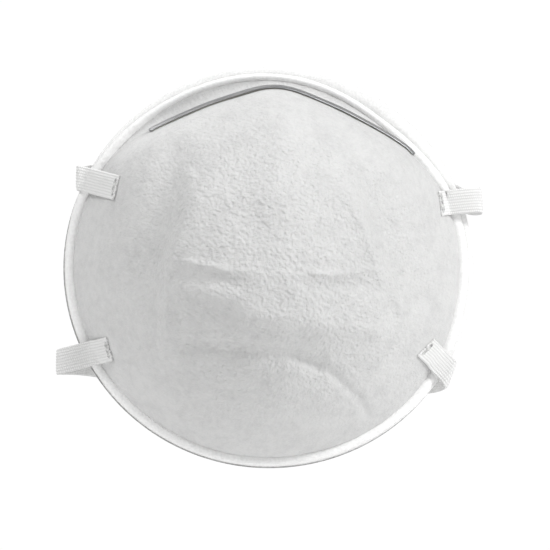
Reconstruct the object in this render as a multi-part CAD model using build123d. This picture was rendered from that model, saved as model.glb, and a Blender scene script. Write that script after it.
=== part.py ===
from build123d import *
import os
from math import acos, asin, atan2, cos, degrees, exp, hypot, pi, radians, sin, tan

# A moulded cup dust mask, upright as it is worn.  +Z is up, the cup bulges towards -Y, and the face
# and the two elastic loops are on the +Y side.  The origin is the middle of the face seal.
# Lengths are in millimetres and angles in degrees.

# --- the rim ------------------------------------------------------------------------------------
RIM_RADIUS = 64.6          # mean radius of the outline, seen from the front
RIM_WIDENING = 0.9         # wider over the cheeks than from nose to chin
RIM_DROP = 0.3             # the chin reaches a little further than the nose
EDGE_WIDTH = 2.8           # width of the welded bead
EDGE_THICKNESS = 1.5
EDGE_PROUD = 0.5           # part of the bead's thickness in front of the rim line
NOSE_SWEEP = 7.0           # how far the rim comes forward at nose and chin
NOSE_EXTRA = 2.0           # a little more at the nose than at the chin
FIT_GAP = 0.1              # clearance between layers that lie on each other

# --- the cup ------------------------------------------------------------------------------------
CUP_DEPTH = 48.0
SNOUT_RISE = 3.2           # the trapezoid panel in front of mouth and nostrils
ROUND_SHARE = 0.15         # share of round wall, against cone, over cheeks and chin
CONE_POWER = 1.9
SHELF_WIDTH = 6.0          # how far the wall stands in from the rim along the nose
SHELF_PEAK = 2.4           # the shelf is narrower than that over the bridge itself
SHELF_FLARE = 3.5          # height over which the wall flares out into the shelf
EDGE_SQUEEZE = 0.4         # share of an inward offset that is lost next to the weld

# Each layer of the cup, from the outside in: name, outer offset and inner offset.
LAYERS = (
    ("outer_web", 0.0, -0.5),
    ("filter_web", -0.7, -1.15),
    ("support_shell", -1.35, -2.15),
    ("face_lining", -2.35, -2.7),
)
LINING_OFFSET = LAYERS[-1][2]

# --- the nose bridge ----------------------------------------------------------------------------
CLIP_FROM, CLIP_TO = 40.0, 134.0      # angles of the clip's two ends
CLIP_LOW, CLIP_HIGH = 4.2, 9.2        # height of its two long edges on the wall
CLIP_THICKNESS = 0.8
CLIP_LIFT = 0.2            # clearance between the outer web and the hot-melt film
ADHESIVE_THICKNESS = 0.15
ADHESIVE_INSET = 0.5
FOAM_FROM, FOAM_TO = 52.0, 128.0
FOAM_LOW, FOAM_HIGH = 6.5, 16.5
FOAM_THICKNESS = 4.0
FOAM_GAP = 1.1             # clearance between the foam and the lining, which curves away from it

# --- the elastics -------------------------------------------------------------------------------
STRAP_WIDTH = 8.0
STRAP_THICKNESS = 0.9
STRAP_LIFT = 0.9           # clearance between strap and cup at the weld
BEAD_LIFT = 1.0            # clearance between strap and bead, which curves under the strap's width
TAIL_PAST_WELD = 2.6
TACK_LENGTH = 6.4
TACK_WIDTH = 1.8
TACK_HEIGHT = 0.4
HINGE_Y = 2.0              # the fold line behind the rim, about which a loop swings
UPPER_FOLD_Z = 26.4
LOWER_FOLD_Z = -33.7
UPPER_PITCH = 12.0         # the upper loop rises towards the crown of the head
LOWER_PITCH = -15.0        # the lower loop falls towards the neck

# Each strap end, seen from the front: the weld's centre and the point where it folds.
TAILS = {
    "upper_left": ((-48.5, 22.5), (-60.8, 27.1)),
    "upper_right": ((53.0, 22.0), (65.1, 24.9)),
    "lower_left": ((-48.0, -27.1), (-63.4, -33.6)),
    "lower_right": ((51.4, -22.2), (57.6, -30.6)),
}

# The free loop of each elastic in its own plane: across, and back from the fold line.
UPPER_LOOP = (
    (-63.6, 0.6), (-62.8, 10.5), (-59.4, 21.0), (-52.5, 31.0), (-43.0, 39.8), (-31.0, 46.8),
    (-16.5, 51.6), (0.5, 53.4), (17.5, 52.2), (32.5, 47.8), (45.5, 40.8), (55.5, 31.6),
    (62.5, 21.2), (66.6, 10.5), (67.5, 0.6),
)
LOWER_LOOP = (
    (-66.8, 0.6), (-64.6, 10.0), (-59.8, 20.0), (-52.5, 29.4), (-43.0, 37.4), (-31.0, 44.0),
    (-17.0, 48.6), (-1.0, 50.4), (15.0, 49.0), (29.0, 44.6), (41.0, 38.0), (50.5, 29.4),
    (57.2, 19.8), (60.8, 10.0), (62.2, 0.6),
)
LOOP_SPLIT = 43.0          # the back piece runs from one side of this to the other
BEND_SHARE = 0.45          # each bend takes this share of the shorter run beside it

CONTOUR_POINTS = 40        # points round each contour of the cup
CONTOUR_DEPTHS = (0.0, 4.0, 7.5, 10.0, 12.0, 14.0, 16.5, 20.0, 25.0, 30.0, 36.0)
TIP_STEPS = (8.0, 4.5, 2.0, 0.0)
TIP_FLAT = 1.0             # the stack of contours ends in a flat this far short of the tip
BEHIND_RIM = 3.0           # how far the stack runs on behind the rim, before it is cut along it
BISECTIONS = 30
STEP = 1e-4                # step for measuring a surface's slope


def smooth(t):
    """0 below 0, 1 above 1, and a soft step between."""
    t = min(max(t, 0.0), 1.0)
    return t * t * (3.0 - 2.0 * t)


def from_nose(angle):
    """How far a direction is from straight up, in degrees."""
    return abs((degrees(angle) - 90.0 + 180.0) % 360.0 - 180.0)


def rim_radius(angle):
    """The outline's radius in the direction of an angle, in radians from +X towards +Z."""
    return RIM_RADIUS + RIM_WIDENING * cos(2.0 * angle) - RIM_DROP * sin(angle)


def rim_y(z):
    """The rim comes forward at the nose and the chin."""
    t = z / RIM_RADIUS
    return -(NOSE_SWEEP * t * t + NOSE_EXTRA * t**3)


def shelf_width(angle):
    """Width of the flared shelf between the bead and the wall that carries the clip."""
    away = from_nose(angle)
    return SHELF_WIDTH * smooth((72.0 - away) / 45.0) - SHELF_PEAK * exp(-((away / 12.0) ** 2))


def cup_rise(s, angle):
    """Height of the wall over the rim: s is 0 at the middle of the cup and 1 at its edge."""
    share = ROUND_SHARE + (1.0 - ROUND_SHARE) * smooth((70.0 - from_nose(angle)) / 20.0)
    reach = sin(pi * s / 2.0)
    return CUP_DEPTH * (share * cos(pi * s / 2.0) + (1.0 - share) * (1.0 - reach**CONE_POWER))


def snout_rise(x, z):
    """The soft trapezoid panel, narrow at the nose and wide at the mouth."""
    half_width = 35.0 - 0.33 * max(z + 3.0, 0.0)
    sides = smooth((half_width - abs(x - 2.0)) / 14.0 + 0.5)
    return SNOUT_RISE * sides * smooth((36.0 - z) / 18.0) * smooth((z + 36.0) / 26.0)


def cup_point(u, v):
    """A point of the cup's outer surface; (u, v) is a point of the unit disc."""
    s = min(hypot(u, v), 1.0)
    angle = atan2(v, u)
    rise = cup_rise(s, angle)
    shelf = max(shelf_width(angle), 0.0)
    wall = rim_radius(angle) - EDGE_WIDTH - shelf
    radius = wall * sin(pi * s / 2.0) + shelf * exp(-rise / SHELF_FLARE)
    x, z = radius * cos(angle), radius * sin(angle)
    return Vector(x, rim_y(z) - rise - snout_rise(x, z), z)


def cup_normal(u, v):
    """The outward normal of the cup at a point of the unit disc."""
    here = cup_point(u, v)
    du = -STEP if u > 0 else STEP
    dv = -STEP if v > 0 else STEP
    along_u = (cup_point(u + du, v) - here) * (1.0 / du)
    along_v = (cup_point(u, v + dv) - here) * (1.0 / dv)
    return along_u.cross(along_v).normalized()


def cup_offset(u, v, offset):
    """A point at a distance outside (or, below 0, inside) the cup, less far inside by the weld."""
    squeeze = 1.0 - EDGE_SQUEEZE * smooth((hypot(u, v) - 0.82) / 0.18)
    if offset < 0:
        offset *= squeeze
    return cup_point(u, v) + cup_normal(u, v) * offset


def contour(depth, inset):
    """The cup's outline at a depth in front of the origin, moved inwards by an inset."""
    shrink = 1.0 - inset / CUP_DEPTH
    points = []
    for i in range(CONTOUR_POINTS):
        angle = 2.0 * pi * i / CONTOUR_POINTS
        shelf = max(shelf_width(angle), 0.0)
        wall = rim_radius(angle) - EDGE_WIDTH - shelf - inset
        near, far = 0.0, 1.0
        for _ in range(BISECTIONS):
            s = (near + far) / 2.0
            rise = shrink * cup_rise(s, angle)
            radius = wall * sin(pi * s / 2.0) + shelf * exp(-rise / SHELF_FLARE)
            x, z = radius * cos(angle), radius * sin(angle)
            if rise + snout_rise(x, z) - rim_y(z) > depth:
                near = s
            else:
                far = s
        points.append((x, -depth, z))
    return Wire([Edge.make_spline(points, periodic=True)])


def dome(inset):
    """The solid inside one surface of the cup, open to nothing: a stack of its contours."""
    tip = CUP_DEPTH + SNOUT_RISE - inset - TIP_FLAT
    depths = [-BEHIND_RIM - inset, *CONTOUR_DEPTHS, *[tip - step for step in TIP_STEPS]]
    return Solid.make_loft([contour(depth, inset) for depth in depths])


def wall_point(angle, rise, offset):
    """A point beside the nose wall, given by its direction and its height over the rim."""
    s = 2.0 / pi * acos(rise / CUP_DEPTH)
    return cup_offset(s * cos(radians(angle)), s * sin(radians(angle)), offset)


def surface_at(x, z):
    """The point and normal of the cup's outside at a place seen from the front."""
    angle = atan2(z, x)
    wall = rim_radius(angle) - EDGE_WIDTH - max(shelf_width(angle), 0.0)
    s = 2.0 / pi * asin(min(hypot(x, z) / wall, 1.0))
    u, v = s * cos(angle), s * sin(angle)
    return cup_point(u, v), cup_normal(u, v)


def sheet(point, outer, inner, rows, columns):
    """A closed solid between two offsets of one surface; point(a, b, offset) with a, b in -1..1."""

    def skin(offset):
        grid = []
        for i in range(rows):
            a = 2.0 * i / (rows - 1) - 1.0
            line = [point(a, 2.0 * j / (columns - 1) - 1.0, offset) for j in range(columns)]
            grid.append(line)
        return Face.make_surface_from_array_of_points(grid, tol=0.005)

    top, bottom = skin(outer), skin(inner)
    sides = []
    for edge in top.edges():
        middle = edge.position_at(0.5)
        partner = min(bottom.edges(), key=lambda other: (other.position_at(0.5) - middle).length)
        sides.append(Face.make_surface_from_curves(edge, partner))
    return Solid(Shell([top, bottom, *sides]))


def rim_profile(shift, length):
    """The solid between the rim's side view, moved by a shift, and its copy a length behind it."""
    reach = RIM_RADIUS + 5.0
    heights = [-reach + 2.0 * reach * i / 16 for i in range(17)]
    front = Edge.make_spline([(-reach, rim_y(z) + shift, z) for z in heights])
    back = front.moved(Location((0, length, 0)))
    bottom = Edge.make_line(back @ 0, front @ 0)
    top = Edge.make_line(front @ 1, back @ 1)
    return Solid.extrude(Face(Wire([front, top, back, bottom])), Vector(2.0 * reach, 0, 0))


def edge_weld():
    """The welded bead: a ring of even thickness that follows the outline and the rim's sweep."""

    def outline(inset):
        points = []
        for i in range(36):
            angle = 2.0 * pi * i / 36
            radius = rim_radius(angle) - inset
            points.append((radius * cos(angle), 0.0, radius * sin(angle)))
        return Wire([Edge.make_spline(points, periodic=True)])

    ring = Face(outline(0.0), [outline(EDGE_WIDTH - FIT_GAP)])
    prism = Solid.extrude(ring, Vector(0, 40, 0)).moved(Location((0, -20, 0)))
    return prism & rim_profile(-EDGE_PROUD, EDGE_THICKNESS)


def wall_strip(start, stop, low, high, outer, inner):
    """A strip that follows the nose wall between two directions and two heights."""

    def point(a, b, offset):
        angle = start + (stop - start) * (a + 1.0) / 2.0
        return wall_point(angle, low + (high - low) * (b + 1.0) / 2.0, offset)

    return sheet(point, outer, inner, 41, 5)


def nose_bridge():
    """The clip, the hot-melt film under it and the foam strip inside."""
    film_top = CLIP_LIFT + ADHESIVE_THICKNESS
    clip_bottom = film_top + FIT_GAP
    clip = wall_strip(CLIP_FROM, CLIP_TO, CLIP_LOW, CLIP_HIGH, clip_bottom + CLIP_THICKNESS, clip_bottom)
    film = wall_strip(CLIP_FROM + ADHESIVE_INSET, CLIP_TO - ADHESIVE_INSET, CLIP_LOW + ADHESIVE_INSET,
                      CLIP_HIGH - ADHESIVE_INSET, film_top, CLIP_LIFT)
    foam_top = LINING_OFFSET - FOAM_GAP
    foam = wall_strip(FOAM_FROM, FOAM_TO, FOAM_LOW, FOAM_HIGH, foam_top, foam_top - FOAM_THICKNESS)
    return {"nose_clip": clip, "clip_adhesive": film, "nose_foam": foam}


def strap_tail(weld, fold):
    """One end of an elastic: a flat band from its weld on the cup over the bead, and its tack."""
    ground, normal = surface_at(*weld)
    start = ground + normal * (STRAP_LIFT + STRAP_THICKNESS / 2.0)
    heading = atan2(fold[1], fold[0])
    rim = rim_radius(heading)
    bead_top = rim_y(rim * sin(heading)) - EDGE_PROUD - BEAD_LIFT - STRAP_THICKNESS
    crossing = Vector(rim * cos(heading), bead_top, rim * sin(heading))
    along = (crossing - start).normalized()
    past_rim = hypot(*fold) - rim
    length = (crossing - start).length + past_rim / hypot(along.X, along.Z)
    up = (normal - along * normal.dot(along)).normalized()
    middle = start + along * ((length - TAIL_PAST_WELD) / 2.0)
    lying = Plane(origin=middle, x_dir=along, z_dir=up)
    band = lying * Box(length + TAIL_PAST_WELD, STRAP_WIDTH, STRAP_THICKNESS)
    on_top = start + up * (STRAP_THICKNESS / 2.0 + FIT_GAP / 2.0 + TACK_HEIGHT / 2.0)
    tack = Plane(origin=on_top, x_dir=along, z_dir=up) * Box(TACK_WIDTH, TACK_LENGTH, TACK_HEIGHT)
    return band, tack


def bend_radii(route):
    """The radius of each bend of a route: a share of the shorter run, over the half turn."""
    radii = []
    for before, corner, after in zip(route, route[1:], route[2:]):
        run_in = Vector(*corner) - Vector(*before)
        run_out = Vector(*after) - Vector(*corner)
        shorter = min(run_in.length, run_out.length)
        radii.append(BEND_SHARE * shorter / tan(radians(run_in.get_angle(run_out)) / 2.0))
    return radii


def strap_loop(route, fold_z, pitch):
    """The free loop of an elastic behind the mask: left run, back and right run."""
    tilt = radians(pitch)
    plane = Plane(origin=(0, HINGE_Y, fold_z), x_dir=(1, 0, 0), z_dir=(0, -sin(tilt), cos(tilt)))
    radii = bend_radii(route)
    print("bend radii", [round(r, 1) for r in radii])
    path = FilletPolyline(*route, radius=radii).wire()
    start = Plane(origin=path @ 0, z_dir=path % 0, x_dir=(0, 0, 1))
    band = sweep(start * Rectangle(STRAP_WIDTH, STRAP_THICKNESS), path=path)
    print("loop length", round(path.length, 1), "volume ratio",
          round(band.volume / (path.length * STRAP_WIDTH * STRAP_THICKNESS), 4))
    half = FIT_GAP / 2.0
    reach = 40.0
    side = Box(reach, 4.0 * reach, 4.0 * reach)
    left = band & Pos(-LOOP_SPLIT - half - reach / 2.0, 0, 0) * side
    right = band & Pos(LOOP_SPLIT + half + reach / 2.0, 0, 0) * side
    back = band & Box(2.0 * (LOOP_SPLIT - half), 4.0 * reach, 4.0 * reach)
    return [plane * piece for piece in (left, right, back)]


def build():
    parts = {"edge_weld": edge_weld()}
    in_front = rim_profile(-2.0 * CUP_DEPTH, 2.0 * CUP_DEPTH)
    for name, outer, inner in LAYERS:
        parts[name] = (dome(-outer) - dome(-inner)) & in_front
    parts.update(nose_bridge())
    for place, (weld, fold) in TAILS.items():
        level, side = place.split("_")
        band, tack = strap_tail(weld, fold)
        parts[f"{level}_strap_{side}_tail"] = band
        parts[f"{level}_{side}_tack"] = tack
    loops = (("upper", UPPER_LOOP, UPPER_FOLD_Z, UPPER_PITCH), ("lower", LOWER_LOOP, LOWER_FOLD_Z, LOWER_PITCH))
    for level, route, fold_z, pitch in loops:
        left, right, back = strap_loop(route, fold_z, pitch)
        parts[f"{level}_strap_left_run"] = left
        parts[f"{level}_strap_right_run"] = right
        parts[f"{level}_strap_back"] = back
    return parts


os.makedirs("parts", exist_ok=True)
for node, shape in build().items():
    export_step(shape, f"parts/{node}.step")
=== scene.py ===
import math

import bmesh
import bpy
import numpy as np
from mathutils import Matrix, Vector, noise


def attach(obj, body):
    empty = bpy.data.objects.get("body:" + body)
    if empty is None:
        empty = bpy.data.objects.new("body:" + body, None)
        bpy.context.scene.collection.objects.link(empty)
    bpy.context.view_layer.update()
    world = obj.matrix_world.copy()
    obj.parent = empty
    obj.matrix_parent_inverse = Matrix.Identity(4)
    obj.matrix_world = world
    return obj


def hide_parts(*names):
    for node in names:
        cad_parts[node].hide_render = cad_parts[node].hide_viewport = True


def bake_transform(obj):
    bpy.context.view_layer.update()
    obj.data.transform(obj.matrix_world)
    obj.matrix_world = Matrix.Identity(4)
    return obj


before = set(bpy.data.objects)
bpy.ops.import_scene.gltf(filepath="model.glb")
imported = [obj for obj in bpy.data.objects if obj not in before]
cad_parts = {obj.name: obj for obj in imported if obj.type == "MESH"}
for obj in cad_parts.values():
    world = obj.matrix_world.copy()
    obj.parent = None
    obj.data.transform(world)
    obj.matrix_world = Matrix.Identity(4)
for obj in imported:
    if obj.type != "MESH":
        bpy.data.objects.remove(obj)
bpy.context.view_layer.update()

# Lengths in this script are in millimetres until a mesh is made, and angles in radians unless they
# are named as degrees.  An angle round the cup runs from +X towards +Z.
MM = 0.001

# The cup: the sizes of part.py, but for a higher snout panel, a sharper shelf and a thinner clip.
RIM_RADIUS, RIM_WIDENING, RIM_DROP = 64.6, 0.9, 0.3
NOSE_SWEEP, NOSE_EXTRA = 7.0, 2.0
EDGE_WIDTH = 2.8
CUP_DEPTH = 48.0
SNOUT_RISE = 3.6           # 3.2 in part.py, where the panel has no folds
ROUND_SHARE, CONE_POWER = 0.15, 1.9
BLEND_SPREAD = 1.6         # the turn from round to conical wall is wider near the tip of the cup
SHELF_WIDTH, SHELF_PEAK = 6.0, 2.4
SHELF_FLARE = 1.3          # 3.5 in part.py; less shows the clip as thin as it looks on its edge
CLIP_FROM, CLIP_TO, CLIP_LOW, CLIP_HIGH, CLIP_THICKNESS = 40.0, 134.0, 4.2, 9.2, 0.65
FOAM_FROM, FOAM_TO, FOAM_LOW, FOAM_HIGH, FOAM_THICKNESS = 52.0, 128.0, 6.5, 16.5, 4.0
CLIP_LIFT = 0.3            # from the outer web to the clip
LINING_BACK = -2.7         # the inner face of the lining, from the cup's outer surface
FOAM_GAP = 0.6
STRAP_WIDTH, STRAP_THICKNESS = 8.0, 0.8
HINGE_Y = 2.0

AROUND = 480               # points round each ring of the web
RINGS = 150                # rings from the tip of the cup to its rim
SLOPE_STEP = 1e-3
WELD_SQUEEZE = 0.6         # share of each layer's thickness that the rim's weld presses away

# Light and camera.
CAMERA_DISTANCE = 1.2
VIEW_WIDTH = 0.176
VIEW_SHIFT = (0.0021, -0.0026)
VIEW_ROLL = 2.5
FLOOR_Z = -0.2


# --- the cup's surface ----------------------------------------------------------------------------

def smooth(t):
    """0 below 0, 1 above 1, and a soft step between."""
    t = np.clip(t, 0.0, 1.0)
    return t * t * (3.0 - 2.0 * t)


def bell(t):
    return np.exp(-t * t)


def from_nose(angle):
    """How far a direction is from straight up, in degrees."""
    return np.abs((np.degrees(angle) - 90.0 + 180.0) % 360.0 - 180.0)


def rim_radius(angle):
    return RIM_RADIUS + RIM_WIDENING * np.cos(2.0 * angle) - RIM_DROP * np.sin(angle)


def rim_y(z):
    t = z / RIM_RADIUS
    return -(NOSE_SWEEP * t * t + NOSE_EXTRA * t**3)


def flange_width(angle):
    """The thin trimmed edge outside the bead, widest at the wearer's upper left."""
    degrees = np.degrees(angle) % 360.0
    right = smooth((np.cos(angle) + 0.2) / 0.8) * smooth((np.sin(angle) + 0.7) / 0.6)
    top = smooth((70.0 - from_nose(angle)) / 40.0)
    return 0.4 + 1.3 * right + 1.5 * top + 1.6 * bell((degrees - 50.0) / 22.0)


def bead_width(angle):
    return 2.6 - 0.9 * smooth((60.0 - from_nose(angle)) / 30.0)


def wall_and_shelf(angle):
    """The radius where the wall would meet the rim, and the width of the shelf outside it."""
    away = from_nose(angle)
    shelf = SHELF_WIDTH * smooth((72.0 - away) / 45.0) - SHELF_PEAK * bell(away / 12.0)
    edge = flange_width(angle) + bead_width(angle)
    radius = rim_radius(angle)
    wall = radius - np.maximum(EDGE_WIDTH + np.maximum(shelf, 0.0), edge)
    return wall, radius - edge - wall


def cup_rise(s, angle):
    turning = (60.0 - from_nose(angle)) / 20.0 * np.maximum(s, 0.02) ** BLEND_SPREAD
    share = ROUND_SHARE + (1.0 - ROUND_SHARE) * smooth(turning + 0.5)
    reach = np.sin(math.pi * s / 2.0)
    return CUP_DEPTH * (share * np.cos(math.pi * s / 2.0) + (1.0 - share) * (1.0 - reach**CONE_POWER))


def line_distance(x, z, points):
    """Distance to a line through points, seen from the front."""
    best = np.full(np.shape(x), 1e9)
    for (ax, az), (bx, bz) in zip(points, points[1:]):
        dx, dz = bx - ax, bz - az
        along = np.clip(((x - ax) * dx + (z - az) * dz) / (dx * dx + dz * dz), 0.0, 1.0)
        best = np.minimum(best, np.hypot(x - ax - along * dx, z - az - along * dz))
    return best


# Folds pressed into the cup, seen from the front: line, height (below 0 is a groove), half width.
FOLD_SCALE = 1.8           # the heights are drawn this many times higher
FOLDS = (
    (((-25.5, 27.0), (-29.3, 9.0), (-31.2, -1.0)), 0.75, 2.0),
    (((-31.0, 33.0), (-36.0, 12.0), (-38.5, -4.0)), -1.6, 6.0),
    (((25.0, 22.0), (32.9, 5.3), (37.5, -3.0), (42.6, -12.0)), 0.7, 2.2),
    (((31.5, 24.0), (39.5, 8.0), (48.5, -8.0)), -0.8, 5.0),
    (((-26.0, 0.2), (-19.0, -0.6), (-13.0, -1.8)), 0.42, 1.1),
    (((-30.0, -4.5), (-20.0, -5.0), (-8.0, -6.0)), -0.5, 2.6),
    (((14.5, -1.8), (24.0, -1.2), (32.5, 0.6)), 0.42, 1.1),
    (((13.0, -5.5), (24.0, -5.0), (36.0, -5.5)), -0.5, 2.4),
    (((-12.0, -1.8), (0.0, -2.6), (14.0, -1.8)), 0.12, 1.6),
    (((-6.0, -16.0), (10.0, -17.0), (26.0, -18.0), (38.0, -19.0)), 0.75, 3.6),
    (((-28.0, -14.0), (-18.0, -17.0), (-8.0, -16.0)), -0.5, 5.0),
    (((-24.0, -25.5), (-8.0, -25.6), (8.0, -26.8), (16.0, -29.0)), -1.0, 3.0),
    (((10.0, -27.5), (20.0, -31.5), (29.5, -39.5), (33.0, -45.0)), -0.55, 1.6),
    (((44.6, 10.6), (52.0, 12.6), (59.4, 13.4)), 0.3, 1.2),
    (((5.0, 45.0), (9.0, 32.0), (8.0, 20.0)), 0.5, 9.0),
)


def snout_rise(x, z):
    """The soft trapezoid panel in front of mouth and nostrils, with its folds."""
    half_width = 35.0 - 0.33 * np.maximum(z + 3.0, 0.0)
    sides = smooth((half_width - np.abs(x - 2.0)) / 5.0 + 0.5)
    rise = SNOUT_RISE * sides * smooth((36.0 - z) / 18.0) * smooth((z + 36.0) / 26.0)
    for points, height, width in FOLDS:
        rise = rise + FOLD_SCALE * height * bell(line_distance(x, z, points) / width)
    return rise


def radius_at(s, angle):
    wall, shelf = wall_and_shelf(angle)
    rise = cup_rise(s, angle)
    return wall * np.sin(math.pi * s / 2.0) + shelf * np.exp(-rise / SHELF_FLARE)


def cup_point(u, v):
    """Points of the cup's outer surface; (u, v) is a point of the unit disc."""
    s = np.minimum(np.hypot(u, v), 1.0)
    angle = np.arctan2(v, u)
    radius = radius_at(s, angle)
    x, z = radius * np.cos(angle), radius * np.sin(angle)
    return np.stack([x, rim_y(z) - cup_rise(s, angle) - snout_rise(x, z), z], axis=-1)


def unit(vectors):
    return vectors / np.linalg.norm(vectors, axis=-1, keepdims=True)


def cup_normal(u, v):
    """Outward normals of the cup at points of the unit disc."""
    here = cup_point(u, v)
    du = np.where(u > 0, -SLOPE_STEP, SLOPE_STEP)
    dv = np.where(v > 0, -SLOPE_STEP, SLOPE_STEP)
    along_u = (cup_point(u + du, v) - here) / du[..., None]
    along_v = (cup_point(u, v + dv) - here) / dv[..., None]
    return unit(np.cross(along_u, along_v))


def disc_of(x, z):
    """The point of the unit disc whose place on the cup is seen at (x, z) from the front."""
    angle = np.arctan2(z, x)
    target = np.hypot(x, z)
    low, high = np.zeros_like(target), np.ones_like(target)
    for _ in range(30):
        middle = (low + high) / 2.0
        inside = radius_at(middle, angle) < target
        low, high = np.where(inside, middle, low), np.where(inside, high, middle)
    return low * np.cos(angle), low * np.sin(angle)


def on_cup(x, z, lift):
    """A point above the cup's surface, and the surface's normal there."""
    u, v = disc_of(np.array([float(x)]), np.array([float(z)]))
    normal = cup_normal(u, v)[0]
    return cup_point(u, v)[0] + normal * lift, normal


def wall_point(degrees, rise, offset):
    """Points beside the nose wall, given by direction and height over the rim."""
    s = 2.0 / math.pi * np.arccos(rise / CUP_DEPTH)
    angle = np.radians(degrees)
    u, v = s * np.cos(angle), s * np.sin(angle)
    return cup_point(u, v) + cup_normal(u, v) * offset[..., None]


# --- meshes ---------------------------------------------------------------------------------------

def make_mesh(name, points, faces, material, uv=None):
    """A mesh object from points in millimetres; uv holds one pair, in millimetres, per point."""
    data = bpy.data.meshes.new(name)
    data.from_pydata((np.asarray(points) * MM).tolist(), [], faces)
    if uv is not None:
        loops = np.zeros(len(data.loops), dtype=np.int32)
        data.loops.foreach_get("vertex_index", loops)
        layer = data.uv_layers.new(name="UVMap")
        layer.data.foreach_set("uv", (np.asarray(uv) * 0.01)[loops].astype(np.float32).ravel())
    data.polygons.foreach_set("use_smooth", [len(face) <= 4 for face in faces])
    data.materials.append(material)
    data.update()
    made = bpy.data.objects.new(name, data)
    bpy.context.scene.collection.objects.link(made)
    return made


def ring_faces(rings, around, flip=False, first=0):
    """Quads between successive closed rings of points."""
    faces = []
    for i in range(rings - 1):
        for j in range(around):
            a = first + i * around + j
            b = first + i * around + (j + 1) % around
            quad = (a, b, b + around, a + around)
            faces.append(quad[::-1] if flip else quad)
    return faces


def tube(name, rings, material, uv=None, closed=False):
    """A mesh swept through rings, an array (rings, around, 3); closed joins the last to the first."""
    count, around = rings.shape[:2]
    points = rings.reshape(-1, 3)
    faces = ring_faces(count, around)
    if closed:
        last = (count - 1) * around
        faces += [(last + j, last + (j + 1) % around, (j + 1) % around, j) for j in range(around)]
    else:
        faces.append(tuple(range(around))[::-1])
        faces.append(tuple((count - 1) * around + j for j in range(around)))
    return make_mesh(name, points, faces, material, uv)


def fix_normals(made):
    """Turns a closed mesh's faces outward."""
    mesh = bmesh.new()
    mesh.from_mesh(made.data)
    bmesh.ops.recalc_face_normals(mesh, faces=mesh.faces)
    mesh.to_mesh(made.data)
    mesh.free()
    return made


def noise_at(points, scale, seed):
    """Smooth noise from -1 to 1 at an array of points."""
    flat = points.reshape(-1, 3) / scale + seed
    values = [noise.noise(Vector(p)) for p in flat.tolist()]
    return np.array(values).reshape(points.shape[:-1])


# --- materials ------------------------------------------------------------------------------------

def node(tree, kind, inputs=None, **settings):
    made = tree.nodes.new("ShaderNode" + kind)
    for key, value in settings.items():
        setattr(made, key, value)
    for key, value in (inputs or {}).items():
        if isinstance(value, bpy.types.NodeSocket):
            tree.links.new(value, made.inputs[key])
        else:
            made.inputs[key].default_value = value
    return made


def calc(tree, operation, a, b=0.0, clamp=False):
    return node(tree, "Math", {0: a, 1: b}, operation=operation, use_clamp=clamp).outputs[0]


def mix_colour(tree, factor, a, b):
    made = node(tree, "Mix", {0: factor}, data_type="RGBA")
    for socket, value in ((made.inputs[6], a), (made.inputs[7], b)):
        if isinstance(value, bpy.types.NodeSocket):
            tree.links.new(value, socket)
        else:
            socket.default_value = (*value, 1.0)
    return made.outputs[2]


class Material:
    """A Principled material with coordinates in millimetres and a stack of bumps."""

    def __init__(self, name, roughness, **shader_values):
        self.material = bpy.data.materials.new(name)
        self.material.use_nodes = True
        self.tree = self.material.node_tree
        self.shader = self.tree.nodes["Principled BSDF"]
        self.shader.inputs["Roughness"].default_value = roughness
        for key, value in shader_values.items():
            self.shader.inputs[key.replace("_", " ")].default_value = value
        where = node(self.tree, "TexCoord")
        self.solid = self.scaled(where.outputs["Object"], (1000.0,) * 3)
        self.flat = self.scaled(where.outputs["UV"], (100.0, 100.0, 1.0))
        self.normal = None

    def scaled(self, vector, scale, turn=0.0):
        return node(self.tree, "Mapping", {"Vector": vector, "Scale": scale,
                                           "Rotation": (0.0, 0.0, math.radians(turn))}).outputs[0]

    def noise(self, vector, scale, detail=2.0, roughness=0.5, distortion=0.0):
        inputs = {"Vector": vector, "Scale": scale, "Detail": detail, "Roughness": roughness,
                  "Distortion": distortion}
        return node(self.tree, "TexNoise", inputs).outputs[0]

    def cells(self, vector, scale, randomness, feature="F1"):
        inputs = {"Vector": vector, "Scale": scale, "Randomness": randomness}
        return node(self.tree, "TexVoronoi", inputs, feature=feature).outputs[0]

    def ramp(self, value, low, high):
        inputs = {"Value": value, "From Min": low, "From Max": high}
        return node(self.tree, "MapRange", inputs, interpolation_type="SMOOTHSTEP").outputs[0]

    def streaks(self, vector, fine, long, turn):
        """Thin fibres in one direction."""
        return self.ramp(self.noise(self.scaled(vector, (long, fine, 1.0), turn), 1.0, 3.0, 0.6), 0.35, 0.7)

    def colour(self, value):
        if isinstance(value, bpy.types.NodeSocket):
            self.tree.links.new(value, self.shader.inputs["Base Color"])
        else:
            self.shader.inputs["Base Color"].default_value = (*value, 1.0)

    def bump(self, height, depth_mm, strength=1.0):
        """Adds relief; height runs from 0 to 1 and depth is what 1 stands for."""
        inputs = {"Height": height, "Distance": depth_mm * MM, "Strength": strength}
        if self.normal is not None:
            inputs["Normal"] = self.normal
        self.normal = node(self.tree, "Bump", inputs).outputs[0]
        self.tree.links.new(self.normal, self.shader.inputs["Normal"])


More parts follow.
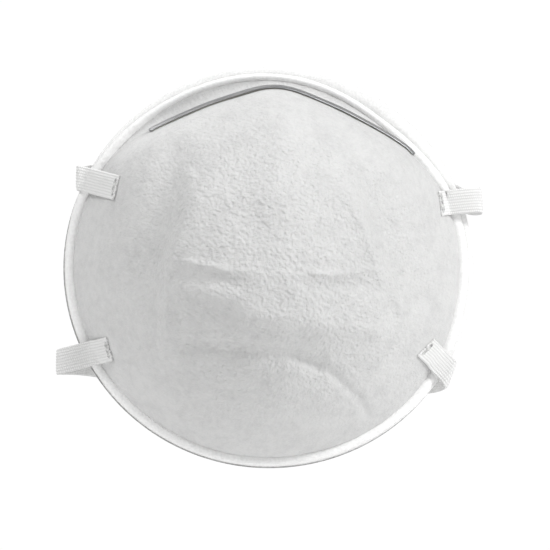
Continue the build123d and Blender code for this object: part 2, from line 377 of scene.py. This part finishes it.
def web_material(name, light, dark, dimple, dimple_pitch, fibre_depth):
    """A nonwoven web: point bonds, laid fibres and cloudy thickness."""
    m = Material(name, 0.82, Sheen_Weight=0.25, Sheen_Roughness=0.45)
    tree = m.tree
    fibres = [m.streaks(m.flat, 4.0, 0.9, turn) for turn in (20.0, 75.0, -40.0)]
    laid = calc(tree, "MAXIMUM", calc(tree, "MAXIMUM", fibres[0], fibres[1]), fibres[2])
    cloud = m.noise(m.solid, 0.11, 4.0, 0.6)
    patch = m.noise(m.solid, 0.45, 3.0, 0.55)
    mottle = calc(tree, "ADD", calc(tree, "MULTIPLY", cloud, 0.55), calc(tree, "MULTIPLY", patch, 0.45))
    factor = calc(tree, "MULTIPLY_ADD", laid, 0.25)
    tree.links.new(mottle, factor.node.inputs[2])
    parts = node(tree, "SeparateXYZ", {0: m.solid})
    squares = [calc(tree, "MULTIPLY", parts.outputs[axis], parts.outputs[axis]) for axis in (0, 2)]
    front = m.ramp(calc(tree, "SQRT", calc(tree, "ADD", *squares)), 60.0, 28.0)
    depth = calc(tree, "ADD", calc(tree, "MULTIPLY", front, 0.75), 0.25)
    turned = m.scaled(m.flat, (1.0, 1.0, 1.0), 20.0)
    bonds = m.ramp(m.cells(turned, 1.0 / dimple_pitch, 0.7, "SMOOTH_F1"), 0.15, 0.6)
    swell = m.ramp(m.noise(turned, 1.0, 2.0, 0.5, 0.1), 0.35, 0.65)
    raised = calc(tree, "ADD", calc(tree, "MULTIPLY", bonds, 0.6), calc(tree, "MULTIPLY", swell, 0.4))
    bond_height = calc(tree, "MULTIPLY", raised, depth)
    tinted = mix_colour(tree, m.ramp(factor, 0.3, 0.85), dark, light)
    m.colour(mix_colour(tree, calc(tree, "MULTIPLY", bond_height, -0.12), tinted, light))
    m.bump(bond_height, dimple)
    m.bump(laid, fibre_depth)
    m.bump(m.noise(m.solid, 6.0, 3.0, 0.6), fibre_depth)
    return m.material


def elastic_material():
    m = Material("woven_elastic", 0.75, Sheen_Weight=0.3, Sheen_Roughness=0.4)
    tree = m.tree
    parts = node(tree, "SeparateXYZ", {0: m.flat})
    across, along = parts.outputs[0], parts.outputs[1]
    rib = calc(tree, "FLOOR", calc(tree, "MULTIPLY", across, 1.0 / 0.9))
    shift = calc(tree, "MULTIPLY", calc(tree, "MODULO", rib, 2.0), math.pi / 2.0)
    stitch = calc(tree, "ADD", calc(tree, "MULTIPLY", along, math.pi / 0.62), shift)
    thread = calc(tree, "ABSOLUTE", calc(tree, "SINE", stitch))
    furrow = calc(tree, "ABSOLUTE", calc(tree, "SINE", calc(tree, "MULTIPLY", across, math.pi / 0.9)))
    fuzz = m.noise(m.solid, 3.5, 3.0, 0.7)
    height = calc(tree, "MULTIPLY", thread, furrow)
    # The colour is painted shade in the furrows between the threads, darker where the relief is low, mixed
    # with random fuzz tone.
    painted_shade_and_fuzz = calc(tree, "ADD", calc(tree, "MULTIPLY", height, 0.6), calc(tree, "MULTIPLY", fuzz, 0.5))
    m.colour(mix_colour(tree, m.ramp(painted_shade_and_fuzz, 0.1, 0.8), (0.66, 0.66, 0.655), (0.84, 0.84, 0.835)))
    m.bump(height, 0.045)
    m.bump(fuzz, 0.02)
    return m.material


def plain_material(name, light, dark, roughness, scale, depth, **shader_values):
    """A material with a mottled colour and a fine grain."""
    m = Material(name, roughness, **shader_values)
    grain = m.noise(m.solid, scale, 4.0, 0.6)
    m.colour(mix_colour(m.tree, m.ramp(grain, 0.3, 0.7), dark, light))
    m.bump(grain, depth)
    return m


def metal_material():
    m = Material("clip_aluminium", 0.42, Metallic=1.0)
    brushed = m.noise(m.scaled(m.flat, (0.25, 9.0, 1.0)), 1.0, 4.0, 0.65)
    handled = m.noise(m.solid, 0.5, 3.0, 0.6)
    m.colour(mix_colour(m.tree, m.ramp(brushed, 0.3, 0.7), (0.26, 0.265, 0.27), (0.42, 0.425, 0.43)))
    m.bump(brushed, 0.02)
    m.bump(handled, 0.12)
    return m.material


def foam_material():
    m = Material("open_cell_foam", 0.9, Sheen_Weight=0.15)
    pores = m.cells(m.solid, 1.7, 1.0)
    fine = m.cells(m.solid, 3.6, 1.0)
    height = calc(m.tree, "MULTIPLY", m.ramp(pores, 0.1, 0.6), m.ramp(fine, 0.0, 0.5))
    # The pores are painted darker than the cell walls: painted shade in the hollows of the relief.
    m.colour(mix_colour(m.tree, height, (0.33, 0.34, 0.35), (0.7, 0.71, 0.72)))
    m.bump(height, 0.3)
    return m.material


WEB = web_material("outer_web_bonded", (0.68, 0.68, 0.676), (0.56, 0.56, 0.56), 0.42, 1.5, 0.04)
FILTER = web_material("filter_web_fine", (0.86, 0.87, 0.88), (0.76, 0.77, 0.78), 0.05, 0.8, 0.04)
SHELL = web_material("support_shell_moulded", (0.78, 0.78, 0.76), (0.64, 0.64, 0.62), 0.2, 2.2, 0.12)
LINING = web_material("face_lining_soft", (0.86, 0.86, 0.85), (0.76, 0.76, 0.75), 0.08, 1.1, 0.05)
BEAD = plain_material("welded_edge_fused", (0.96, 0.96, 0.955), (0.88, 0.88, 0.875), 0.6, 1.1, 0.12,
                      Sheen_Weight=0.1).material
FLANGE = plain_material("trimmed_edge_fused", (0.93, 0.93, 0.925), (0.82, 0.82, 0.815), 0.7, 1.6, 0.1,
                        Sheen_Weight=0.15).material
# Painted shade: the dark grey of the thin line drawn where the rim's outer edge lies in shade.
PAINTED_SHADE_LINE = plain_material("painted_shade_line_grey", (0.5, 0.5, 0.495), (0.3, 0.3, 0.3), 0.8, 0.8, 0.05).material
ELASTIC = elastic_material()
METAL = metal_material()
FOAM = foam_material()
GLUE = plain_material("hot_melt_film", (0.80, 0.78, 0.70), (0.70, 0.67, 0.58), 0.3, 0.6, 0.1).material
TACK = plain_material("pressed_weld_mark", (0.72, 0.72, 0.71), (0.26, 0.26, 0.26), 0.55, 0.9, 0.15).material


# --- camera ---------------------------------------------------------------------------------------

def make_camera():
    data = bpy.data.cameras.new("camera")
    data.sensor_width = 36.0
    data.lens = data.sensor_width * CAMERA_DISTANCE / VIEW_WIDTH
    data.clip_end = 20.0
    camera = bpy.data.objects.new("camera", data)
    facing = Matrix.Rotation(math.radians(90.0), 4, "X") @ Matrix.Rotation(math.radians(VIEW_ROLL), 4, "Z")
    camera.matrix_world = Matrix.Translation((VIEW_SHIFT[0], -CAMERA_DISTANCE, VIEW_SHIFT[1])) @ facing
    bpy.context.scene.collection.objects.link(camera)
    bpy.context.scene.camera = camera


make_camera()


# --- the elastics ---------------------------------------------------------------------------------

# Each end of an elastic, seen from the front: the weld, the place where it lies on the bead, the two
# points round its fold with their y, and the direction of the fold line.
STRAP_ENDS = {
    "upper_left": {
        "weld": (-49.8, 22.9), "bead": (-58.6, 24.9), "front": (-62.6, -3.3, 25.7),
        "behind": (-62.0, 1.4, 25.3), "fold_line": (-0.04, 1.0),
    },
    "upper_right": {
        "weld": (54.4, 22.5), "bead": (58.4, 23.2), "front": (67.2, -3.4, 24.4),
        "behind": (66.4, -0.2, 23.2), "fold_line": (-0.12, 0.99),
    },
    "lower_left": {
        "weld": (-50.0, -28.5), "bead": (-56.2, -30.4), "front": (-66.2, -4.1, -33.4),
        "behind": (-66.0, -1.5, -33.5), "fold_line": (-0.04, 1.0),
    },
    "lower_right": {
        "weld": (51.4, -24.0), "bead": (54.6, -26.9), "front": (59.9, -3.9, -32.0),
        "behind": (58.9, 0.2, -33.0), "fold_line": (0.3, 0.95),
    },
}

# The loops behind the mask, from left to right: across, back from the fold line, and height.
UPPER_LOOP = (
    (-58.0, 4.6, 26.2), (-53.6, 11.0, 27.8), (-50.0, 20.6, 30.2), (-45.6, 31.0, 32.4),
    (-39.2, 39.6, 34.6), (-29.8, 46.6, 36.2), (-16.5, 51.6, 37.2), (0.5, 53.4, 37.6),
    (17.5, 52.2, 37.4), (32.5, 47.8, 36.4), (43.4, 40.4, 34.8), (50.4, 31.0, 32.4),
    (55.2, 20.8, 29.2), (58.6, 10.4, 25.4), (62.8, 2.4, 23.3),
)
LOWER_LOOP = (
    (-61.4, -0.9, -33.4), (-55.4, 2.8, -33.8), (-49.4, 12.6, -35.2), (-44.8, 24.0, -38.0),
    (-39.4, 33.6, -41.6), (-30.6, 42.4, -44.8), (-17.0, 48.4, -46.4), (-1.0, 50.4, -46.8),
    (15.0, 49.0, -46.4), (28.8, 44.2, -45.2), (38.6, 36.8, -43.0), (45.0, 27.2, -40.0),
    (49.4, 16.8, -37.0), (52.2, 8.6, -35.0), (55.6, 3.4, -34.2),
)
BACK_TILT = {"upper": math.radians(12.0), "lower": math.radians(-15.0)}
END_PIECE_BACK = 8.0        # where the end pieces meet the loop, back from the fold line
BEAD_TOP = 0.95             # how far the bead stands in front of the rim line
TAIL_END = 1.0              # from the weld to the cut end
TACK_LENGTH, TACK_WIDTH = 6.6, 2.0


def spline(points):
    """A smooth line with these control points, as an array of points in millimetres."""
    data = bpy.data.curves.new("route", "CURVE")
    data.dimensions = "3D"
    data.resolution_u = 14
    line = data.splines.new("NURBS")
    line.points.add(len(points) - 1)
    for place, point in zip(line.points, points):
        place.co = (*[c * MM for c in point], 1.0)
    line.order_u = 3
    line.use_endpoint_u = True
    holder = bpy.data.objects.new("route", data)
    bpy.context.scene.collection.objects.link(holder)
    bpy.context.view_layer.update()
    mesh = bpy.data.meshes.new_from_object(holder)
    sampled = np.array([v.co for v in mesh.vertices]) / MM
    bpy.data.objects.remove(holder)
    bpy.data.meshes.remove(mesh)
    return sampled


def strap_end(level, side):
    """Control points and width directions of one end, from the cut end to behind the rim."""
    spec = STRAP_ENDS[f"{level}_{side}"]
    weld = np.array(spec["weld"])
    bead = np.array(spec["bead"])
    heading = (bead - weld) / np.linalg.norm(bead - weld)
    angle = math.atan2(bead[1], bead[0])
    outside = rim_radius(angle) - flange_width(angle)
    free = outside - bead_width(angle) - np.hypot(*weld)      # from the weld to the bead
    points, widths = [], []
    lying = STRAP_THICKNESS / 2.0 + 0.15
    for step, lift in ((-TAIL_END, -0.25), (min(0.6, 0.2 * free), -0.2), (min(2.6, 0.6 * free), 0.1)):
        x, z = weld + heading * step
        place, normal = on_cup(x, z, lying + lift)
        along = np.array([heading[0], 0.0, heading[1]])
        along = unit(along - normal * along.dot(normal))
        width = np.cross(along, normal)
        points.append(place)
        widths.append(width if width[2] > 0 else -width)
    across = np.array([-heading[1], 0.0, heading[0]])
    across = across if across[2] > 0 else -across
    fold = np.array([spec["fold_line"][0], 0.0, spec["fold_line"][1]])
    for radius, turned, clear, pull in ((outside - bead_width(angle), 0.1, 0.5, 0.5),
                                        (outside + 0.2, 0.3, 0.95, 0.0)):
        x, z = bead + heading * (radius - np.hypot(*bead))
        over = rim_y(z) - BEAD_TOP - lying - clear
        points.append(np.array([x, over + pull * min(points[-1][1] - over, 0.0), z]))
        widths.append(unit((1.0 - turned) * across + turned * fold))
    for key in ("front", "behind"):
        points.append(np.array(spec[key]))
        widths.append(fold)
    return points, widths


def make_strap(level, loop):
    """One elastic: its line, and the two end pieces and the loop that are cut from it."""
    tilt = BACK_TILT[level]
    upright = np.array([0.0, -math.sin(tilt), math.cos(tilt)])
    left_points, left_widths = strap_end(level, "left")
    right_points, right_widths = strap_end(level, "right")
    middle = [np.array([across, HINGE_Y + back, height]) for across, back, height in loop]
    points = np.array(left_points + middle + right_points[::-1])
    widths = np.array(left_widths + [upright] * len(middle) + right_widths[::-1])
    centre = spline(points)
    ruling = unit(spline(points + widths * STRAP_WIDTH) - centre)
    along = unit(np.gradient(centre, axis=0))
    normal = unit(np.cross(ruling, along))          # points away from the cup and the head
    slant = np.maximum(np.linalg.norm(np.cross(ruling, along), axis=1), 0.55)
    steps = np.linalg.norm(np.diff(centre, axis=0), axis=1)
    travelled = np.concatenate([[0.0], np.cumsum(steps)])
    across = STRAP_WIDTH / 2.0 * np.sin(np.linspace(-math.pi / 2.0, math.pi / 2.0, 43))
    half = STRAP_THICKNESS / 2.0
    edge = np.sqrt(np.clip(1.0 - (np.abs(across) / (STRAP_WIDTH / 2.0)) ** 5, 0.0, 1.0))
    profile = edge * (half + 0.09 * np.cos(2.0 * math.pi * across / 0.9))
    u = np.concatenate([across, across[::-1][1:-1]])
    h = np.concatenate([profile, -profile[::-1][1:-1]])
    # The strap is pressed thin under each weld, and its cut ends are ragged.
    from_end = np.minimum(travelled, travelled[-1] - travelled)
    pressed = 1.0 - 0.45 * bell((from_end - TAIL_END) / 1.6)
    wave = 0.12 * np.sin(travelled / 3.1) + 0.08 * np.sin(travelled / 1.7 + 1.0)
    rings = (
        centre[:, None, :]
        + (ruling / slant[:, None])[:, None, :] * u[None, :, None]
        + normal[:, None, :] * ((h[None, :] * pressed[:, None]) + wave[:, None] * 0.5)[..., None]
    )
    fray = 0.16 * np.sin(u * 7.3) + 0.12 * np.sin(u * 12.9 + 0.7)
    for k in range(3):
        share = (3.0 - k) / 3.0
        rings[k] -= along[k] * (fray * share)[:, None]
        rings[-1 - k] += along[-1 - k] * (fray * share)[:, None]
    uv = np.stack([np.broadcast_to(u + 20.0, rings.shape[:2]),
                   np.broadcast_to(travelled[:, None], rings.shape[:2])], axis=-1)
    back = centre[:, 1] - HINGE_Y
    behind = np.nonzero(back > END_PIECE_BACK)[0]
    first, last = behind[0], behind[-1]
    for side, chosen in (("left", slice(0, first + 1)), ("right", slice(last, None))):
        name = f"{level}_elastic_{side}_end"
        piece = tube(name, rings[chosen], ELASTIC, uv[chosen].reshape(-1, 2))
        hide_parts(f"{level}_strap_{side}_tail", f"{level}_strap_{side}_run")
        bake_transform(fix_normals(piece))
    chosen = slice(first, last + 1)
    piece = tube(f"{level}_elastic_loop", rings[chosen], ELASTIC, uv[chosen].reshape(-1, 2))
    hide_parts(f"{level}_strap_back")
    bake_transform(fix_normals(piece))
    path = centre[chosen] * MM
    length = float(np.linalg.norm(np.diff(path, axis=0), axis=1).sum())
    print(level, "loop", round(length, 4), "whole elastic", round(travelled[-1] * MM, 4))
    for side, at in (("left", TAIL_END), ("right", travelled[-1] - TAIL_END)):
        index = int(np.argmin(np.abs(travelled - at)))
        make_tack(f"{level}_{side}", centre[index], ruling[index], normal[index], along[index])


def make_tack(place, centre, width, normal, along):
    """The pressed bar of a weld: a sunk, cross-hatched floor with an uneven outline."""
    columns, rows = 37, 15
    a, b = np.meshgrid(np.linspace(-1, 1, columns), np.linspace(-1, 1, rows), indexing="ij")
    edge = np.abs(a) ** 6 + np.abs(b) ** 4
    hatch = 0.05 * np.cos(a * 28.0) * np.cos(b * 9.0)
    top = np.maximum(0.10 + hatch - 0.22 * smooth(edge), -0.12)
    spread_a = a * TACK_LENGTH / 2.0 * (1.0 - 0.03 * np.abs(b) ** 3)
    uneven = 0.18 * np.sin(a * 5.3 + centre[0]) + 0.1 * np.sin(a * 11.7 + centre[2])
    spread_b = b * TACK_WIDTH / 2.0 * (1.0 + uneven - 0.4 * np.abs(a) ** 5)
    base = centre + normal * (STRAP_THICKNESS / 2.0 * 0.55)

    def skin(height):
        return (base + spread_a[..., None] * width + spread_b[..., None] * along
                + np.broadcast_to(height, a.shape)[..., None] * normal)

    piece = solid_sheet(f"{place}_weld_mark", skin(top + 0.05), skin(-0.25), TACK)
    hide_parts(f"{place}_tack")
    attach(piece, "cup")


def solid_sheet(name, outer, inner, material, uv=None):
    """A closed mesh between two grids of points."""
    rows, columns = outer.shape[:2]
    points = np.concatenate([outer.reshape(-1, 3), inner.reshape(-1, 3)])
    offset = rows * columns
    faces = []
    for i in range(rows - 1):
        for j in range(columns - 1):
            a = i * columns + j
            quad = (a, a + 1, a + columns + 1, a + columns)
            faces.append(quad)
            faces.append(tuple(offset + k for k in quad[::-1]))
    rim = list(range(columns))
    rim += [i * columns + columns - 1 for i in range(1, rows)]
    rim += [(rows - 1) * columns + j for j in range(columns - 2, -1, -1)]
    rim += [i * columns for i in range(rows - 2, 0, -1)]
    for a, b in zip(rim, rim[1:] + rim[:1]):
        faces.append((b, a, offset + a, offset + b))
    if uv is not None:
        uv = np.concatenate([uv.reshape(-1, 2)] * 2)
    return fix_normals(make_mesh(name, points, faces, material, uv))


# The length of each loop between its end pieces, in metres, as it is drawn.
make_strap("upper", UPPER_LOOP)
make_strap("lower", LOWER_LOOP)


# --- the layers of the cup ------------------------------------------------------------------------

def dome_layer(name, outer, inner, material, around=AROUND, rings=RINGS, grain=0.0, wrinkles=0.0):
    """A closed shell between two offsets of the cup's surface, thin at the weld."""
    s = (np.arange(rings) + 0.35) / (rings - 1 + 0.35)
    s = 1.0 - (1.0 - s) ** 1.5
    angles = 2.0 * math.pi * np.arange(around) / around
    grid_s, grid_a = np.meshgrid(s, angles, indexing="ij")
    u, v = grid_s * np.cos(grid_a), grid_s * np.sin(grid_a)
    place, normal = cup_point(u, v), cup_normal(u, v)
    keep = 1.0 - WELD_SQUEEZE * smooth((grid_s - 0.84) / 0.16)
    free = smooth((1.0 - grid_s) / 0.08)
    relief = np.zeros_like(grid_s)
    if grain:
        front = 0.25 + 0.75 * smooth((60.0 - np.hypot(place[..., 0], place[..., 2])) / 30.0)
        relief = relief + front * grain * (noise_at(place, 1.3, 3.7) + 0.8 * noise_at(place, 3.0, 9.1))
    if wrinkles:
        relief = relief + wrinkles * noise_at(place, 11.0, 5.3) + 0.5 * wrinkles * noise_at(place, 6.0, 1.9)
    relief = relief * free
    skins = [place + normal * ((outer * keep) + relief)[..., None],
             place + normal * ((inner * keep) + relief)[..., None]]
    steps = np.linalg.norm(np.diff(place, axis=0), axis=-1)
    arc = np.concatenate([np.zeros((1, around)), np.cumsum(steps, axis=0)])
    arc = arc + np.hypot(place[0, :, 0], place[0, :, 2])
    flat = np.stack([arc * np.cos(grid_a), arc * np.sin(grid_a)], axis=-1)
    points, faces, uv = [], [], []
    for index, skin in enumerate(skins):
        first = len(points)
        middle = skin[0].mean(axis=0)
        points += [middle.tolist()] + skin.reshape(-1, 3).tolist()
        uv += [[0.0, 0.0]] + flat.reshape(-1, 2).tolist()
        fan = [(first, first + 1 + j, first + 1 + (j + 1) % around) for j in range(around)]
        faces += [f[::-1] for f in fan] if index else fan
        faces += ring_faces(rings, around, flip=not index, first=first + 1)
    inner_first = rings * around + 1
    edge = 1 + (rings - 1) * around
    for j in range(around):
        a, b = edge + j, edge + (j + 1) % around
        faces.append((a, b, inner_first + b, inner_first + a))
    return fix_normals(make_mesh(name, points, faces, material, uv))


def make_layers():
    layers = (
        ("outer_cover", "outer_web", 0.0, -0.5, WEB, 0.15),
        ("filter_layer", "filter_web", -0.7, -1.15, FILTER, 0.0),
        ("moulded_shell", "support_shell", -1.35, -2.15, SHELL, 0.0),
        ("inner_lining", "face_lining", -2.35, LINING_BACK, LINING, 0.05),
    )
    for name, node_name, outer, inner, material, grain in layers:
        detailed = grain > 0.0
        around, rings = (AROUND, RINGS) if detailed else (AROUND // 2, RINGS // 2)
        piece = dome_layer(name, outer, inner, material, around, rings, grain, 0.22)
        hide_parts(node_name)
        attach(piece, "cup")


make_layers()


# --- the rim --------------------------------------------------------------------------------------

BEAD_NOMINAL = 2.4         # the width that the section below is drawn at
# The bead's section: outwards from its outer edge, and back from the rim line.
BEAD_SECTION = (
    (-3.2, 0.1), (-2.9, -0.3), (-2.45, -0.72), (-1.9, -0.93), (-1.3, -0.95), (-0.8, -0.78),
    (-0.4, -0.42), (-0.1, -0.1), (0.02, 0.2), (-0.1, 0.5), (-0.5, 0.75), (-1.6, 0.85), (-2.8, 0.8),
    (-3.3, 0.5),
)


def make_rim():
    count = 720
    angles = 2.0 * math.pi * np.arange(count) / count
    radius = rim_radius(angles)
    flange, bead = flange_width(angles), bead_width(angles)
    section = np.array(BEAD_SECTION)
    reach = (radius - flange)[:, None] + section[None, :, 0] * (bead / BEAD_NOMINAL)[:, None]
    lumps = 0.05 * np.sin(angles * 173.0) + 0.05 * np.sin(angles * 61.0 + 1.0)
    height = section[None, :, 1] * (1.0 + lumps[:, None])
    z = reach * np.sin(angles)[:, None]
    rings = np.stack([reach * np.cos(angles)[:, None], rim_y(z) + height, z], axis=-1)
    bead_piece = tube("rim_bead", rings, BEAD, None, closed=True)
    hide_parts("edge_weld")
    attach(fix_normals(bead_piece), "cup")
    wave = 0.22 * np.sin(angles * 9.0 + 0.5) + 0.14 * np.sin(angles * 23.0)
    edge_lean = 0.3 * flange + wave * smooth((flange - 0.6) / 2.0)
    strip = []
    for share, back in ((-0.12, 0.35), (0.45, 0.38), (0.9, 0.45), (1.0, 0.62), (0.9, 0.82), (0.45, 0.8),
                        (-0.12, 0.8)):
        out = radius - flange + share * flange - 0.35 * (share < 0)
        lean = max(share, 0.0) * edge_lean
        z = out * np.sin(angles)
        strip.append(np.stack([out * np.cos(angles), rim_y(z) + back + lean, z], axis=-1))
    flange_piece = tube("rim_flange", np.stack(strip, axis=1), FLANGE, None, closed=True)
    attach(fix_normals(flange_piece), "cup")
    # Painted shade: a thin dark grey ring at the rim's outer edge, shown along the chin and the cheek at -X
    # where the edge lies in shade.
    painted_shade_share = smooth(0.3 - np.sin(angles) - 0.5 * np.cos(angles))[:, None]
    thick = 0.1 + 0.2 * painted_shade_share
    turn = 2.0 * math.pi * np.arange(8) / 8
    out = radius[:, None] - 0.35 * (1.0 - painted_shade_share) + thick * np.cos(turn)
    z = out * np.sin(angles)[:, None]
    rings = np.stack([out * np.cos(angles)[:, None],
                      rim_y(z) + 0.62 + edge_lean[:, None] + thick * np.sin(turn), z], axis=-1)
    shade_line_piece = tube("rim_painted_shade_line", rings, PAINTED_SHADE_LINE, None, closed=True)
    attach(fix_normals(shade_line_piece), "cup")


make_rim()


# --- the nose bridge ------------------------------------------------------------------------------

def wall_band(name, start, stop, low, high, outer, inner, material, crown=0.0, round_ends=1.0):
    """A strip that follows the nose wall, with rounded long edges and ends."""
    columns, rows = 181, 21
    ends_close = np.sin(np.linspace(-math.pi / 2.0, math.pi / 2.0, columns))
    a = ends_close * 0.35 + np.linspace(-1, 1, columns) * 0.65
    b = np.sin(np.linspace(-math.pi / 2.0, math.pi / 2.0, rows))
    grid_a, grid_b = np.meshgrid(a, b, indexing="ij")
    degrees = start + (stop - start) * (grid_a + 1.0) / 2.0
    half_length = math.radians(stop - start) * RIM_RADIUS / 2.0
    near_end = np.clip((np.abs(grid_a) - 1.0 + round_ends / half_length) / (round_ends / half_length), 0, 1)
    narrow = 1.0 - 0.5 * near_end**3
    rise = (low + high) / 2.0 + (high - low) / 2.0 * grid_b * narrow
    edge = np.sqrt(np.clip(1.0 - np.abs(grid_b) ** 8, 0.0, 1.0)) * np.sqrt(1.0 - near_end**6 * 0.999)
    middle, half = (outer + inner) / 2.0, (outer - inner) / 2.0
    swell = crown * (1.0 - grid_b**2)
    uv = np.stack([grid_a * half_length, grid_b * (high - low) / 2.0], axis=-1) + 200.0
    top = wall_point(degrees, rise, middle + half * edge + swell)
    bottom = wall_point(degrees, rise, middle - half * edge - swell)
    piece = solid_sheet(name, top, bottom, material, uv)
    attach(piece, "cup")
    return piece


def make_nose_bridge():
    clip = wall_band("nose_clip_strip", CLIP_FROM, CLIP_TO, CLIP_LOW, CLIP_HIGH,
                     CLIP_LIFT + CLIP_THICKNESS, CLIP_LIFT, METAL)
    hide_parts("nose_clip")
    film = wall_band("clip_glue", CLIP_FROM + 0.5, CLIP_TO - 0.5, CLIP_LOW + 0.4, CLIP_HIGH - 0.4, 0.28,
                     0.02, GLUE)
    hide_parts("clip_adhesive")
    top = LINING_BACK - FOAM_GAP
    foam = wall_band("nose_foam_strip", FOAM_FROM, FOAM_TO, FOAM_LOW, FOAM_HIGH, top,
                     top - FOAM_THICKNESS + 0.4, FOAM, crown=0.35, round_ends=2.5)
    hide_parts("nose_foam")


make_nose_bridge()


# --- stage and light ------------------------------------------------------------------------------

def make_stage():
    pale = plain_material("stage_floor", (0.86, 0.86, 0.86), (0.85, 0.85, 0.85), 0.9, 0.01, 0.0).material
    rings = []
    for radius in (0.3, 300.0, 700.0, 1000.0):
        angles = 2.0 * math.pi * np.arange(96) / 96
        rings.append(np.stack([radius * np.cos(angles), radius * np.sin(angles),
                               np.full(96, FLOOR_Z / MM)], axis=-1))
    floor = make_mesh("stage_floor", np.concatenate(rings), ring_faces(4, 96), pale)
    glow = bpy.data.materials.new("stage_glow")
    glow.use_nodes = True
    glow.node_tree.nodes.clear()
    light = node(glow.node_tree, "Emission", {"Color": (1.0, 1.0, 1.0, 1.0), "Strength": 1.02})
    out = node(glow.node_tree, "OutputMaterial")
    glow.node_tree.links.new(light.outputs[0], out.inputs[0])
    profile = np.linspace(0.0, math.pi, 25)
    angles = 2.0 * math.pi * np.arange(48) / 48
    shell = np.stack([np.outer(np.sin(profile), np.cos(angles)), np.outer(np.sin(profile), np.sin(angles)),
                      np.outer(np.cos(profile), np.ones(48))], axis=-1) * 6000.0
    dome = make_mesh("stage_dome", shell[1:-1].reshape(-1, 3), ring_faces(23, 48), glow)
    dome.visible_diffuse = False
    dome.visible_glossy = False
    dome.visible_transmission = False
    dome.visible_shadow = False


def area_light(name, place, size, power):
    data = bpy.data.lights.new(name, "AREA")
    data.shape = "DISK"
    data.size = size
    data.energy = power
    made = bpy.data.objects.new(name, data)
    made.location = place
    made.rotation_euler = (-Vector(place)).to_track_quat("-Z", "Y").to_euler()
    bpy.context.scene.collection.objects.link(made)


WORLD_STRENGTH = 0.42
# Each light: name, place in metres, size in metres and power in watts.
LIGHTS = (
    ("key", (0.75, -0.75, 0.85), 0.4, 11.5),
    ("right", (1.15, -0.45, 0.1), 0.5, 1.6),
    ("upper_left", (-0.9, -0.35, 0.8), 0.5, 5.2),
    ("top", (-0.1, -0.4, 1.2), 0.5, 0.9),
    ("behind", (-0.5, 0.9, 0.6), 0.8, 6.0),
)


def make_light():
    world = bpy.data.worlds.new("world")
    world.use_nodes = True
    background = world.node_tree.nodes["Background"]
    background.inputs["Color"].default_value = (1.0, 1.0, 1.0, 1.0)
    background.inputs["Strength"].default_value = WORLD_STRENGTH
    bpy.context.scene.world = world
    for light in LIGHTS:
        area_light(*light)


make_stage()
make_light()
bpy.context.scene.view_settings.view_transform = "Standard"
